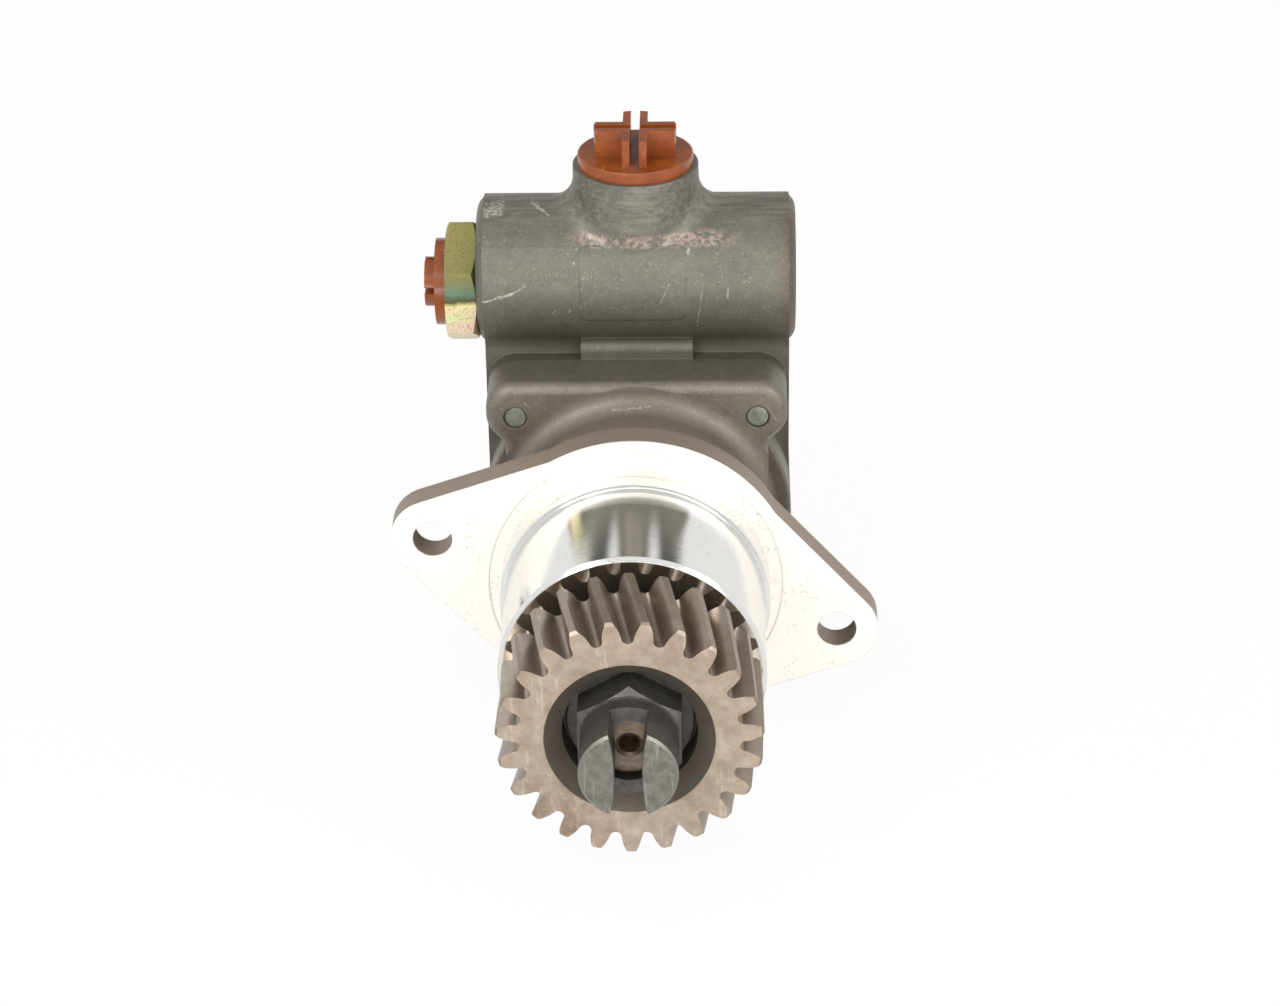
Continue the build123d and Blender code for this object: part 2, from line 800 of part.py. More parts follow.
with BuildPart() as drive_gear:
    gear_sections = [
        gear_outline(gear_front_y, 0),
        gear_outline(gear_front_y + gear_width / 2, gear_twist / 2),
        gear_outline(gear_rear_y, gear_twist),
    ]
    loft(gear_sections, ruled=True)
    revolve(
        turned(
            (0, gear_front_y),
            (gear_tip_radius - gear_chamfer, gear_front_y),
            (gear_tip_radius + gear_chamfer, gear_front_y + 2 * gear_chamfer),
            (gear_tip_radius + gear_chamfer, gear_rear_y - 2 * gear_chamfer),
            (gear_tip_radius - gear_chamfer, gear_rear_y),
            (0, gear_rear_y),
        ),
        axis=shaft_axis,
        mode=Mode.INTERSECT,
    )
    with BuildSketch(station(gear_rear_y)):
        Circle(gear_hub_radius)
    extrude(amount=gear_rear_y - gear_hub_y)
    revolve(
        turned(
            (0, gear_front_y),
            (gear_recess_mouth, gear_front_y),
            (gear_recess_radius, gear_front_y + gear_recess_taper),
            (gear_recess_radius, recess_floor_y),
            (seat_radius, recess_floor_y),
            (seat_radius, gear_hub_y),
            (0, gear_hub_y),
        ),
        axis=shaft_axis,
        mode=Mode.SUBTRACT,
    )
    with BuildSketch(station(recess_floor_y)):
        with Locations((0, seat_radius)):
            Rectangle(key_width, 2 * key_rise)
    extrude(amount=recess_floor_y - gear_hub_y, mode=Mode.SUBTRACT)
finish(drive_gear.part, "drive_gear")

# Washer and slotted nut, whose slot drives a second pump
with BuildPart() as gear_washer:
    revolve(
        turned(
            (thread_radius, nut_rear_y),
            (washer_radius, nut_rear_y, edge_chamfer / 2),
            (washer_radius, recess_floor_y),
            (thread_radius, recess_floor_y),
        ),
        axis=shaft_axis,
    )
finish(gear_washer.part, "gear_washer")

with BuildPart() as drive_nut:
    with BuildSketch(station(nut_hex_y)):
        RegularPolygon(nut_width / 2, 6, major_radius=False, rotation=30)
    extrude(amount=nut_hex_y - nut_rear_y)
    hex_corner = nut_width / math.sqrt(3)
    revolve(
        turned(
            (0, nut_hex_y),
            (nut_width / 2, nut_hex_y),
            (hex_corner + nut_chamfer, nut_hex_y + hex_corner - nut_width / 2),
            (hex_corner + nut_chamfer, nut_rear_y),
            (0, nut_rear_y),
        ),
        axis=shaft_axis,
        mode=Mode.INTERSECT,
    )
    with BuildSketch(station(nut_front_y)):
        Circle(nut_collar_radius)
    extrude(amount=nut_front_y - nut_hex_y)
    chamfer(drive_nut.edges().group_by(Axis.Y)[0], nut_chamfer)
    with BuildSketch(station(nut_front_y)):
        Circle(thread_radius)
    extrude(amount=nut_front_y - nut_rear_y, mode=Mode.SUBTRACT)
    with BuildSketch(station(nut_front_y)):
        with BuildLine():
            middle = slot_middle_width / 2
            end = slot_end_width / 2
            ThreePointArc((-end, -nut_collar_radius), (-middle, 0), (-end, nut_collar_radius))
            Line((-end, nut_collar_radius), (end, nut_collar_radius))
            ThreePointArc((end, nut_collar_radius), (middle, 0), (end, -nut_collar_radius))
            Line((end, -nut_collar_radius), (-end, -nut_collar_radius))
        make_face()
    extrude(amount=-slot_depth, mode=Mode.SUBTRACT)
finish(drive_nut.part, "drive_nut")

# Vane cartridge: side plate, cam ring, pressure plate, dowels, rotor and vanes
ring_plane = station(ring_front_y)


def kidney(angle):
    """Kidney-shaped port in the station plane, centred on an angle from the minor axis."""
    with BuildSketch(Plane.XZ) as port:
        start = cam_angle + angle - port_span / 2
        arc = CenterArc((0, 0), port_radius, start, port_span, mode=Mode.PRIVATE)
        SlotArc(arc, port_width)
    return port.sketch


def port_sketch(angles):
    """Several kidney ports in one sketch."""
    with BuildSketch(Plane.XZ) as ports:
        for angle in angles:
            add(kidney(angle))
    return ports.sketch


suction_angles = (45, 225)
pressure_angles = (135, 315)

with BuildPart() as front_side_plate:
    with BuildSketch(station(joint_y)):
        Circle(plate_radius)
        Circle(shaft_body_radius + plate_clearance, mode=Mode.SUBTRACT)
        with PolarLocations(dowel_circle_radius, 2, cam_angle):
            Circle(dowel_radius, mode=Mode.SUBTRACT)
    extrude(amount=-plate_thickness)
    with BuildSketch(ring_plane):
        add(port_sketch(suction_angles + pressure_angles))
    extrude(amount=port_depth, mode=Mode.SUBTRACT)
finish(front_side_plate.part, "front_side_plate")

with BuildPart() as cam_ring:
    with BuildSketch(ring_plane):
        Circle(ring_radius)
        with BuildLine():
            cam_steps = 24
            cam_points = [
                Vector(cam_radius(360 * step / cam_steps), 0).rotate(
                    Axis.Z, cam_angle + 360 * step / cam_steps
                )
                for step in range(cam_steps)
            ]
            Spline(*cam_points, periodic=True)
        make_face(mode=Mode.SUBTRACT)
        with PolarLocations(dowel_circle_radius, 2, cam_angle):
            Circle(dowel_radius, mode=Mode.SUBTRACT)
    extrude(amount=-ring_width)
finish(cam_ring.part, "cam_ring")

with BuildPart() as pressure_plate:
    with BuildSketch(station(ring_rear_y)):
        Circle(plate_radius)
        Circle(rear_journal_radius + plate_clearance, mode=Mode.SUBTRACT)
        with PolarLocations(dowel_circle_radius, 2, cam_angle):
            Circle(dowel_radius, mode=Mode.SUBTRACT)
        add(port_sketch(pressure_angles), mode=Mode.SUBTRACT)
    extrude(amount=-pressure_plate_thickness)
    with BuildSketch(station(ring_rear_y)):
        Circle(ring_seat_radius)
    extrude(amount=-ring_seat_depth, mode=Mode.SUBTRACT)
    with BuildSketch(station(ring_rear_y)):
        add(port_sketch(suction_angles))
    extrude(amount=-port_depth, mode=Mode.SUBTRACT)
    groove_y = ring_rear_y + (pressure_plate_thickness - o_ring_width) / 2
    with BuildSketch(station(groove_y)):
        Circle(plate_radius)
        Circle(chamber_radius - o_ring_depth, mode=Mode.SUBTRACT)
    extrude(amount=-o_ring_width, mode=Mode.SUBTRACT)
finish(pressure_plate.part, "pressure_plate")

with BuildPart() as dowel_pins:
    dowel_front_y = joint_y - plate_thickness
    with BuildSketch(station(dowel_front_y)):
        with PolarLocations(dowel_circle_radius, 2, cam_angle):
            Circle(dowel_radius)
    extrude(amount=dowel_front_y - pressure_rear_y)
finish(dowel_pins.part, "dowel_pins")

rotor_width = ring_width - 2 * rotor_side_clearance
first_vane_angle = cam_angle + 180 / vane_count
vane_root_radius = vane_rest_tip - vane_length
slot_root_radius = vane_root_radius - vane_spare_depth

with BuildPart() as rotor:
    with BuildSketch(station(spline_front_y)):
        Circle(rotor_radius)
        with PolarLocations(slot_root_radius, vane_count, first_vane_angle):
            Rectangle(
                rotor_radius,
                vane_thickness,
                align=(Align.MIN, Align.CENTER),
                mode=Mode.SUBTRACT,
            )
            Circle(vane_thickness, mode=Mode.SUBTRACT)
        add(spline_outline(0), mode=Mode.SUBTRACT)
    extrude(amount=-rotor_width)
finish(rotor.part, "rotor")

vane_width = rotor_width - 2 * rotor_side_clearance
vane_front_y = spline_front_y + rotor_side_clearance
for number in range(vane_count):
    vane_angle = first_vane_angle + 360 * number / vane_count
    with BuildPart() as vane:
        with BuildSketch(station(vane_front_y)):
            with PolarLocations(vane_root_radius, 1, vane_angle):
                Rectangle(
                    vane_length - vane_tip_radius,
                    vane_thickness - 2 * vane_clearance,
                    align=(Align.MIN, Align.CENTER),
                )
            with PolarLocations(vane_rest_tip - vane_tip_radius, 1, vane_angle):
                Circle(vane_tip_radius)
            with PolarLocations(vane_root_radius, 1, vane_angle):
                Rectangle(
                    vane_length,
                    vane_thickness - 2 * vane_clearance,
                    align=(Align.MIN, Align.CENTER),
                    mode=Mode.INTERSECT,
                )
        extrude(amount=-vane_width)
    finish(vane.part, f"vane_{number + 1}")

# Springs and seals of the cartridge
with BuildPart() as pressure_spring:
    revolve(
        turned(
            (disc_spring_inner_radius, pressure_rear_y),
            (disc_spring_inner_radius + disc_spring_thickness, pressure_rear_y),
            (disc_spring_outer_radius, chamber_rear_y - disc_spring_thickness),
            (disc_spring_outer_radius, chamber_rear_y),
            (disc_spring_outer_radius - disc_spring_thickness, chamber_rear_y),
            (disc_spring_inner_radius, pressure_rear_y + disc_spring_thickness),
        ),
        axis=shaft_axis,
    )
finish(pressure_spring.part, "pressure_spring")

with BuildPart() as plate_o_ring:
    revolve(
        turned(
            (chamber_radius - o_ring_depth, groove_y, o_ring_depth / 3),
            (chamber_radius, groove_y, o_ring_depth / 3),
            (chamber_radius, groove_y + o_ring_width, o_ring_depth / 3),
            (chamber_radius - o_ring_depth, groove_y + o_ring_width, o_ring_depth / 3),
        ),
        axis=shaft_axis,
    )
finish(plate_o_ring.part, "plate_o_ring")

with BuildPart() as joint_o_ring:
    joint_ring_inner = chamber_radius + o_ring_wall
    revolve(
        turned(
            (joint_ring_inner, joint_y - o_ring_depth, o_ring_depth / 3),
            (joint_ring_inner + o_ring_width, joint_y - o_ring_depth, o_ring_depth / 3),
            (joint_ring_inner + o_ring_width, joint_y, o_ring_depth / 3),
            (joint_ring_inner, joint_y, o_ring_depth / 3),
        ),
        axis=shaft_axis,
    )
finish(joint_o_ring.part, "joint_o_ring")

# Flow control valve, along X in the barrel
union_face_x = -barrel_left
union_end_x = union_face_x + union_thread_length
spool_front_x = union_end_x + spool_rest_gap
spool_rear_x = spool_front_x + spool_length
valve_axis = Axis((0, barrel_y, valve_z), (1, 0, 0))


def valve_plane(x):
    """Plane across the valve bore at a distance x, centred on the bore."""
    return Plane(origin=(x, barrel_y, valve_z), x_dir=(0, 1, 0), z_dir=(1, 0, 0))


def valve_profile(*corners):
    """Lathe profile of the valve through (x, radius) corners."""
    with BuildSketch(Plane.XY) as profile:
        with BuildLine():
            Polyline(*corners, close=True)
        make_face()
    return profile.sketch.moved(Location((0, barrel_y, valve_z)))


with BuildPart() as outlet_union:
    with BuildSketch(valve_plane(union_face_x - union_hex_length)):
        RegularPolygon(union_width / 2, 6, major_radius=False, rotation=30)
    extrude(amount=union_hex_length)
    union_corner = union_width / math.sqrt(3)
    chamfer_run = (union_corner - union_width / 2) / 2
    revolve(
        valve_profile(
            (union_face_x - union_hex_length, 0),
            (union_face_x - union_hex_length, union_width / 2),
            (union_face_x - union_hex_length + chamfer_run, union_corner),
            (union_face_x - chamfer_run, union_corner),
            (union_face_x, union_width / 2),
            (union_face_x, 0),
        ),
        axis=valve_axis,
        mode=Mode.INTERSECT,
    )
    with BuildSketch(valve_plane(union_face_x)):
        Circle(union_thread_radius)
    extrude(amount=union_thread_length)
    with BuildSketch(valve_plane(union_face_x - union_hex_length)):
        Circle(union_port_radius)
    extrude(amount=union_port_depth, mode=Mode.SUBTRACT)
    with BuildSketch(valve_plane(union_face_x - union_hex_length)):
        Circle(union_orifice_radius)
    extrude(amount=union_hex_length + union_thread_length, mode=Mode.SUBTRACT)
    with BuildSketch(valve_plane(union_face_x)):
        Circle(union_thread_radius)
        Circle(union_thread_radius - union_seal_section, mode=Mode.SUBTRACT)
    extrude(amount=union_seal_section, mode=Mode.SUBTRACT)
finish(outlet_union.part, "outlet_union")

with BuildPart() as union_seal_ring:
    with BuildSketch(valve_plane(union_face_x)):
        Circle(union_thread_radius)
        Circle(union_thread_radius - union_seal_section, mode=Mode.SUBTRACT)
    extrude(amount=union_seal_section)
finish(union_seal_ring.part, "union_seal_ring")

land_radius_spool = valve_bore_radius - spool_clearance
guide_x = spool_front_x + spool_nose_length
neck_x = guide_x + spool_guide_length
skirt_x = neck_x + spool_neck_length
relief_seat_x = spool_rear_x - relief_bore_depth

with BuildPart() as valve_spool:
    revolve(
        valve_profile(
            (spool_front_x, 0),
            (spool_front_x, spool_waist_radius),
            (guide_x, spool_waist_radius),
            (guide_x, land_radius_spool),
            (neck_x, land_radius_spool),
            (neck_x, spool_waist_radius),
            (skirt_x, spool_waist_radius),
            (skirt_x, land_radius_spool),
            (spool_rear_x, land_radius_spool),
            (spool_rear_x, 0),
        ),
        axis=valve_axis,
    )
    for groove in (1, 2):
        groove_x = skirt_x + groove * (spool_rear_x - skirt_x) / 3
        with BuildSketch(valve_plane(groove_x)):
            Circle(valve_bore_radius)
            Circle(land_radius_spool - spool_groove_depth, mode=Mode.SUBTRACT)
        extrude(amount=spool_groove_width, mode=Mode.SUBTRACT)
    with BuildSketch(valve_plane(guide_x)):
        Circle(valve_bore_radius)
        Rectangle(2 * land_radius_spool, 2 * land_radius_spool, rotation=45)
        with PolarLocations(0, 1):
            Rectangle(1.8 * land_radius_spool, 1.8 * land_radius_spool, mode=Mode.SUBTRACT)
    extrude(amount=spool_guide_length, mode=Mode.SUBTRACT)
    with BuildSketch(valve_plane(relief_seat_x)):
        Circle(relief_bore_radius)
    extrude(amount=relief_bore_depth, mode=Mode.SUBTRACT)
    with BuildSketch(valve_plane(neck_x + spool_neck_length / 2)):
        Circle(relief_seat_radius)
    extrude(amount=spool_length / 2, mode=Mode.SUBTRACT)
    with BuildSketch(Plane.XY.offset(valve_z)):
        with Locations((neck_x + spool_neck_length / 2, barrel_y)):
            Circle(relief_seat_radius)
    extrude(amount=valve_bore_radius, both=True, mode=Mode.SUBTRACT)
finish(valve_spool.part, "valve_spool")

ball_lift = math.sqrt(relief_ball_radius**2 - relief_seat_radius**2) + relief_gap
relief_ball_x = relief_seat_x + ball_lift
with BuildPart(valve_plane(relief_ball_x)) as relief_ball:
    Sphere(relief_ball_radius)
finish(relief_ball.part, "relief_ball")

relief_screw_x = spool_rear_x - relief_screw_length
with BuildPart() as relief_screw:
    with BuildSketch(valve_plane(relief_screw_x)):
        Circle(relief_bore_radius)
        Circle(relief_seat_radius, mode=Mode.SUBTRACT)
    extrude(amount=relief_screw_length)
finish(relief_screw.part, "relief_screw")


def coil_spring(front_x, rear_x, coil_radius, wire_radius, pitch):
    """Coil spring along the valve bore between two faces, with a round wire."""
    with BuildPart() as spring:
        with BuildLine():
            coil = Helix(
                pitch=pitch,
                height=rear_x - front_x - 2 * wire_radius,
                radius=coil_radius,
                center=(front_x + wire_radius, barrel_y, valve_z),
                direction=(1, 0, 0),
            )
        with BuildSketch(Plane(origin=coil @ 0, z_dir=coil % 0)):
            Circle(wire_radius)
        sweep(path=coil, is_frenet=True)
    return spring.part


relief_spring_x = relief_ball_x + relief_ball_radius
finish(
    coil_spring(
        relief_spring_x,
        relief_screw_x,
        relief_coil_radius,
        relief_wire_radius,
        relief_coil_pitch,
    ),
    "relief_spring",
)
finish(
    coil_spring(
        spool_rear_x,
        valve_bore_end,
        spring_coil_radius,
        spring_wire_radius,
        spring_coil_pitch,
    ),
    "valve_spring",
)

# Transport plugs: the inlet plug with four L-shaped ribs, the outlet plug with a knob
with BuildPart() as inlet_plug:
    with BuildSketch(Plane.XY.offset(inlet_boss_top)):
        with Locations((0, barrel_y)):
            Circle(plug_head_radius)
    extrude(amount=plug_head_height)
    fillet(inlet_plug.edges().group_by(Axis.Z)[-1], edge_chamfer / 2)
    rib_base_z = inlet_boss_top + plug_head_height
    with BuildSketch(Plane.XY.offset(rib_base_z)):
        with Locations((0, barrel_y)):
            Rectangle(2 * plug_rib_reach, 2 * plug_rib_reach)
            Rectangle(2 * plug_rib_reach, plug_rib_gap, mode=Mode.SUBTRACT)
            Rectangle(plug_rib_gap, 2 * plug_rib_reach, mode=Mode.SUBTRACT)
            rib_cut = plug_rib_reach - plug_rib_gap / 2 - plug_rib_thickness
            with GridLocations(2 * plug_rib_reach - rib_cut, 2 * plug_rib_reach - rib_cut, 2, 2):
                Rectangle(rib_cut, rib_cut, mode=Mode.SUBTRACT)
            Circle(plug_rib_reach, mode=Mode.INTERSECT)
    extrude(amount=plug_rib_height)
    with BuildSketch(Plane.XY.offset(inlet_boss_top)):
        with Locations((0, barrel_y)):
            Circle(inlet_bore_radius - plug_clearance)
            Circle(inlet_bore_radius - plug_clearance - plug_wall, mode=Mode.SUBTRACT)
    extrude(amount=-plug_shank_length)
finish(inlet_plug.part, "inlet_plug")

plug_face_x = union_face_x - union_hex_length
with BuildPart() as outlet_plug:
    with BuildSketch(valve_plane(plug_face_x)):
        Circle(outlet_plug_radius)
    extrude(amount=-outlet_plug_height)
    with BuildSketch(valve_plane(plug_face_x - outlet_plug_height)):
        Circle(outlet_knob_radius)
        Rectangle(2 * outlet_knob_radius, plug_wall, mode=Mode.SUBTRACT)
        Rectangle(plug_wall, 2 * outlet_knob_radius, mode=Mode.SUBTRACT)
    extrude(amount=-outlet_knob_height)
    with BuildSketch(valve_plane(plug_face_x)):
        Circle(union_port_radius - plug_clearance)
        Circle(union_port_radius - plug_clearance - plug_wall, mode=Mode.SUBTRACT)
    extrude(amount=outlet_shank_length)
finish(outlet_plug.part, "outlet_plug")
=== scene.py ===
import json
import math

import bpy
import numpy as np
from mathutils import Matrix, Vector


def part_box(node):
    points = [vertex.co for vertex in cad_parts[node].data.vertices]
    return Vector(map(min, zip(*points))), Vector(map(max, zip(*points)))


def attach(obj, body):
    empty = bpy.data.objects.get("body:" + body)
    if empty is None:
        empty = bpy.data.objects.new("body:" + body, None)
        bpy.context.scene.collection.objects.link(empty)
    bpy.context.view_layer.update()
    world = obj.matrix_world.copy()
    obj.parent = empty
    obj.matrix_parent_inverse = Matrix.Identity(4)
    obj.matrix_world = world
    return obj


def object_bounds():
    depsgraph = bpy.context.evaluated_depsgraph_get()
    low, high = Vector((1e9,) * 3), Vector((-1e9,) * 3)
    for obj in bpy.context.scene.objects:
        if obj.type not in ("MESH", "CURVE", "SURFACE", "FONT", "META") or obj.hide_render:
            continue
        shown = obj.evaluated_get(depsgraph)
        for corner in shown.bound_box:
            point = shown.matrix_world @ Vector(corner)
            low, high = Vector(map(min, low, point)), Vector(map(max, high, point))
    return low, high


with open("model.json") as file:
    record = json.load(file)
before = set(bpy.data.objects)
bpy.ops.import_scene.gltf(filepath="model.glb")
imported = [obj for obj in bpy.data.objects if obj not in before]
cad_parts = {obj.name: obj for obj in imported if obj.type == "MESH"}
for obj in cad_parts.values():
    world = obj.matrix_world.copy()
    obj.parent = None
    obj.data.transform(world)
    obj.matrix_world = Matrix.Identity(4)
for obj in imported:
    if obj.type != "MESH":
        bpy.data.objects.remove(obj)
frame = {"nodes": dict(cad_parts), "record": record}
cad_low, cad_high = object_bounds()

# Power steering pump: the finishes, the nut's dogs, the barrel's pad, the studio and the camera.
# The shaft lies along Y with the gear towards -Y, +Z is up, and lengths are in metres.
MM = 0.001

# Camera, solved from the flange holes, spigot, gear and valve barrel
CAMERA_PLACE = (24.655 * MM, -874.145 * MM, 493.805 * MM)
CAMERA_ELEVATION = 28.1625
CAMERA_YAW = -1.5141
CAMERA_ROLL = -0.9514
CAMERA_LENS = 101.33
SENSOR_WIDTH = 36.0
CAMERA_CLIP = 0.05

# Front housing, in mm: machined in front of this place along Y
MACHINED_TO = 0.6

# Valve barrel, in mm
BARREL_Y, BARREL_Z, BARREL_RADIUS = 70.0, 65.0, 21.5

# Low pad on the barrel's front: box over x in mm and over the angle in degrees, then its form in mm
PAD_LOW_X, PAD_HIGH_X = -16.2, 14.5
PAD_LOW_TURN, PAD_HIGH_TURN = -20.5, 42.5
PAD_RISE, PAD_EDGE, PAD_CORNER, PAD_SUNK = 0.4, 0.9, 3.0, 0.03
PAD_MARGIN_X, PAD_MARGIN_TURN = 1.2, 0.06
PAD_COLUMNS, PAD_ROWS = 90, 70

# Driving dogs in the nut's collar, in mm
DOG_COLLAR, DOG_REACH, DOG_DEPTH, DOG_EDGE = 12.9, 12.2, 12.4, 0.3
DOG_MIDDLE, DOG_SPREAD = 3.6, 1.5
DOG_TOP, DOG_PROUD, DOG_TIP = 11.05, 0.02, 0.01
DOG_STEPS = 28

# Studio: floor in metres, and in degrees the dark panel and light strips that reflections find
FLOOR_SPAN = 4.0
FLOOR_WHITE = 0.94
WORLD_LIGHT = 0.6
PANEL_HALF, PANEL_LOW, PANEL_HIGH, PANEL_DARK = 20, 18, 60, 0.9
STRIP_AT, STRIP_HALF = 9.5, 2.4


def make_camera():
    """Camera that looks down at the gear end; yaw, elevation and roll turn it from the +Y direction."""
    yaw, elevation, roll = (math.radians(a) for a in (CAMERA_YAW, CAMERA_ELEVATION, CAMERA_ROLL))
    forward = Vector(
        (
            math.sin(yaw) * math.cos(elevation),
            math.cos(yaw) * math.cos(elevation),
            -math.sin(elevation),
        )
    )
    level = forward.cross(Vector((0, 0, 1))).normalized()
    above = level.cross(forward)
    right = level * math.cos(roll) + above * math.sin(roll)
    top = above * math.cos(roll) - level * math.sin(roll)
    data = bpy.data.cameras.new("camera")
    data.lens = CAMERA_LENS
    data.sensor_width = SENSOR_WIDTH
    data.clip_start = CAMERA_CLIP
    camera = bpy.data.objects.new("camera", data)
    bpy.context.collection.objects.link(camera)
    turn = Matrix((right, top, -forward)).transposed().to_4x4()
    camera.matrix_world = Matrix.Translation(CAMERA_PLACE) @ turn
    bpy.context.scene.camera = camera


class Value:
    """A shader socket that takes part in sums: an expression on it adds its Math nodes."""

    def __init__(self, finish, socket):
        self.finish = finish
        self.socket = socket

    def math(self, operation, *others, clamp=False):
        made = self.finish.tree.nodes.new("ShaderNodeMath")
        made.operation = operation
        made.use_clamp = clamp
        for slot, term in zip(made.inputs, (self, *others)):
            self.finish.join(term, slot)
        return Value(self.finish, made.outputs[0])

    def __add__(self, other):
        return self.math("ADD", other)

    def __sub__(self, other):
        return self.math("SUBTRACT", other)

    def __rsub__(self, other):
        return (self * -1) + other

    def __mul__(self, other):
        return self.math("MULTIPLY", other)

    def __pow__(self, other):
        return self.math("POWER", other)

    __radd__ = __add__
    __rmul__ = __mul__

    def abs(self):
        return self.math("ABSOLUTE")

    def clamp(self):
        return self.math("ADD", 0.0, clamp=True)

    def over(self, edge, softness):
        """Rises from 0 to 1 as the value passes the edge, over the softness."""
        return ((self - edge) * (1 / softness) + 0.5).clamp()

    def under(self, edge, softness):
        return 1 - self.over(edge, softness)


class Shading:
    """A node tree that is cleared and then filled one node at a time."""

    def __init__(self, tree):
        self.tree = tree
        self.tree.nodes.clear()

    def join(self, term, socket):
        if isinstance(term, Value):
            self.tree.links.new(term.socket, socket)
        else:
            socket.default_value = term

    def node(self, kind, settings=None, sockets=None, out=0):
        """Adds a node: its settings first, then the values or links of its sockets."""
        made = self.tree.nodes.new(kind)
        for name, setting in (settings or {}).items():
            setattr(made, name, setting)
        for name, term in (sockets or {}).items():
            self.join(term, made.inputs[name])
        return Value(self, made.outputs[out]) if made.outputs else None

    def split(self, vector):
        """The three parts of a vector."""
        parts = self.node("ShaderNodeSeparateXYZ", sockets={"Vector": vector}).socket.node.outputs
        return [Value(self, parts[axis]) for axis in "XYZ"]


class Finish(Shading):
    """The node tree of one material, with the object's coordinates in millimetres at hand."""

    def __init__(self, name):
        self.material = bpy.data.materials.new(name)
        self.material.use_nodes = True
        super().__init__(self.material.node_tree)
        self.place = self.node("ShaderNodeTexCoord", out="Object")
        self.x, self.y, self.z = (part * 1000 for part in self.split(self.place))
        self.across = (self.x * self.x + self.z * self.z) ** 0.5

    def noise(self, scale, detail, roughness, stretch=(1, 1, 1)):
        """Fractal noise, scale in waves per metre; stretch draws the pattern out along each axis."""
        mapped = self.node(
            "ShaderNodeMapping",
            {"vector_type": "POINT"},
            {"Vector": self.place, "Scale": tuple(1 / s for s in stretch)},
        )
        return self.node(
            "ShaderNodeTexNoise",
            {"noise_dimensions": "3D"},
            {"Vector": mapped, "Scale": scale, "Detail": detail, "Roughness": roughness},
        )

    def lines(self, value, scale):
        """Noise along one value only, which gives turned or ground lines; scale in waves per mm."""
        return self.node(
            "ShaderNodeTexNoise",
            {"noise_dimensions": "1D"},
            {"W": value, "Scale": scale, "Detail": 4.0, "Roughness": 0.7},
        )

    def distance(self, start, end):
        """Distance in mm from the straight stroke between two (x, z) places."""
        run_x, run_z = end[0] - start[0], end[1] - start[1]
        run = math.hypot(run_x, run_z)
        from_x, from_z = self.x - start[0], self.z - start[1]
        along = from_x * (run_x / run) + from_z * (run_z / run)
        beside = from_x * (run_z / run) - from_z * (run_x / run)
        past = ((along - run / 2).abs() - run / 2).math("MAXIMUM", 0.0)
        return (past * past + beside * beside) ** 0.5

    def marked(self, colour, marks, where):
        """The colour with ragged, broken strokes painted over it, as far as a mask lets them show."""
        ragged = self.noise(900, 3, 0.6) - 0.5
        broken = self.noise(1300, 3, 0.7).over(0.42, 0.25)
        for start, end, width, strength, tint in marks:
            apart = self.distance(start, end) + ragged * (4 * width)
            stroke = apart.under(width * 0.45, width) * broken * where
            colour = self.mix(stroke * strength, colour, tint)
        return colour

    def rounded(self, radius):
        """Surface direction with the sharp edges softened by a radius in metres."""
        return self.node("ShaderNodeBevel", {"samples": 4}, {"Radius": radius})

    def ramp(self, factor, stops):
        """Colour along a row of (place, colour) stops."""
        made = self.node("ShaderNodeValToRGB", None, {"Fac": factor})
        elements = made.socket.node.color_ramp.elements
        while len(elements) < len(stops):
            elements.new(0.5)
        for element, (spot, colour) in zip(elements, stops):
            element.position = spot
            element.color = (*colour, 1)
        return made

    def mix(self, factor, low, high):
        """Colour between two colours."""
        made = self.tree.nodes.new("ShaderNodeMix")
        made.data_type = "RGBA"
        self.join(factor, made.inputs["Factor"])
        sockets = {socket.name: socket for socket in made.inputs if socket.type == "RGBA"}
        for name, colour in (("A", low), ("B", high)):
            self.join(colour if isinstance(colour, Value) else (*colour, 1), sockets[name])
        return Value(self, next(socket for socket in made.outputs if socket.type == "RGBA"))

    def bump(self, height, strength, distance, normal):
        return self.node(
            "ShaderNodeBump",
            None,
            {"Height": height, "Strength": strength, "Distance": distance, "Normal": normal},
        )

    def surface(self, sockets, fixed=None):
        """Principled surface; the varying sockets and then those that are the same all over."""
        shader = self.node("ShaderNodeBsdfPrincipled", None, {**sockets, **(fixed or {})})
        self.node("ShaderNodeOutputMaterial", None, {"Surface": shader})
        return self.material


def srgb(red, green, blue):
    """Linear colour from 8-bit display values."""
    return tuple(
        c / 12.92 if c <= 0.04045 else ((c + 0.055) / 1.055) ** 2.4
        for c in (red / 255, green / 255, blue / 255)
    )


def cast_layers(finish, dark, light):
    """Colour, roughness and relief of a sand-blasted casting: clouds, light specks and dark pits."""
    clouds = finish.noise(70, 5, 0.62)
    stains = finish.noise(330, 4, 0.65)
    grain = finish.noise(2400, 3, 0.6)
    tone = (clouds.over(0.5, 0.5) * 0.5 + stains.over(0.5, 0.45) * 0.5).clamp()
    colour = finish.mix(tone, dark, light)
    specks = finish.noise(1500, 2, 0.5).over(0.66, 0.08)
    pits = finish.noise(1150, 2, 0.5).under(0.33, 0.08)
    colour = finish.mix(specks * 0.3, colour, srgb(178, 166, 150))
    colour = finish.mix(pits * 0.45, colour, srgb(66, 60, 52))
    return colour, grain * 0.2 + 0.4, grain * 0.6 + stains * 0.8


